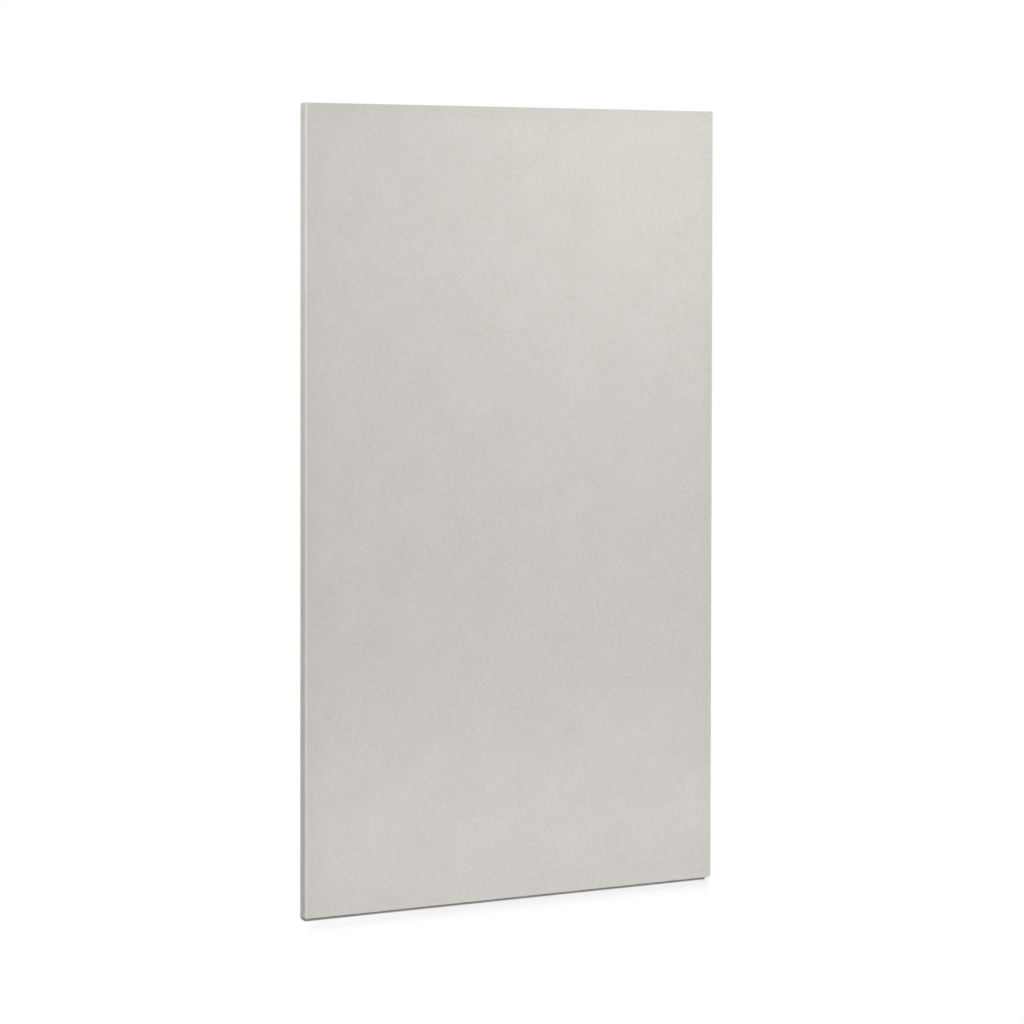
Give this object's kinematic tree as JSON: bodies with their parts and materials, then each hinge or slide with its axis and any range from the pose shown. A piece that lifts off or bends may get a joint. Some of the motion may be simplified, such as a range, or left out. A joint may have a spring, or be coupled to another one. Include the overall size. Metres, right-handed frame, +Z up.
{
  "type": "drywall sheet",
  "caption": "Flat rectangular drywall sheet with square, paper-bound long edges and square-cut ends, for lining walls and ceilings.",
  "frame": {"origin": "under the middle of the sheet, on the plane of the back paper, which lies on the floor", "axes": "+X across the sheet, +Y along its length, +Z up out of the finished face"},
  "size_m": [0.9, 1.22, 0.0125],
  "materials": {
    "lining_paper": "matte, uncoated lining paper"
  },
  "bodies": {
    "root": {"drywall_sheet": "lining_paper"}
  },
  "joints": []
}
